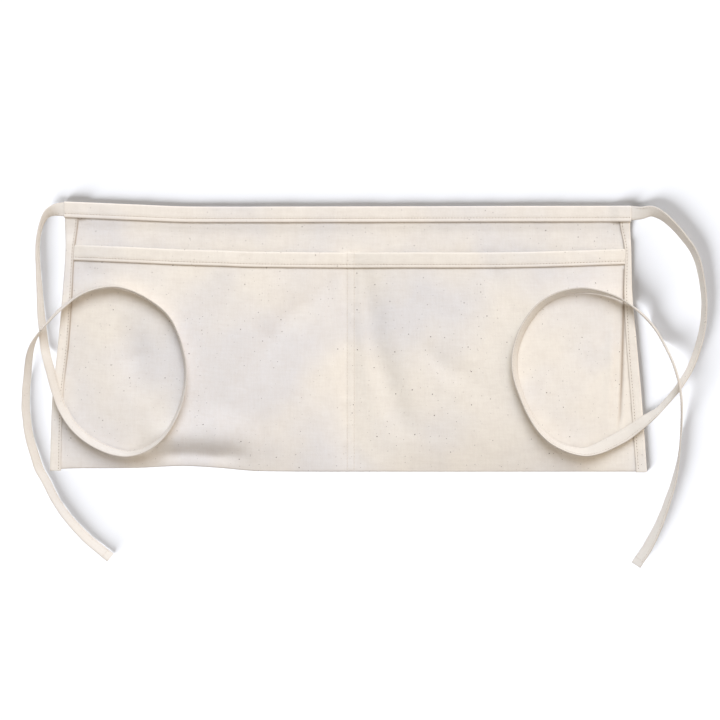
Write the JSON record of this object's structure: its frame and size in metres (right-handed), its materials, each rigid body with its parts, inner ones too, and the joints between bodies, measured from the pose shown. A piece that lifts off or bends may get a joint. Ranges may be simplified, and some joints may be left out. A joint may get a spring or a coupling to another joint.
{
  "type": "carpenter nail apron",
  "caption": "Waist apron of natural cotton canvas for nails and hand tools, with open front pockets, a bound waist and long tape ties, lying flat.",
  "frame": {"origin": "on the surface that the apron lies on, under the middle of the apron without its ties", "axes": "+X along the waist to the right as seen from the front, +Y from the bottom fold to the waistband, +Z out of the apron's front"},
  "size_m": [0.6157, 0.3287, 0.0263],
  "materials": {
    "canvas": "unbleached cotton canvas with seed flecks",
    "binding": "folded cotton canvas binding",
    "tie_tape": "folded cotton canvas tape"
  },
  "bodies": {
    "root": {"back_panel": "canvas", "pocket_panel": "canvas", "pocket_hem": "canvas", "side_hem_left": "canvas", "side_hem_right": "canvas", "waistband": "binding", "tie_left": "tie_tape", "tie_right": "tie_tape"}
  },
  "joints": []
}
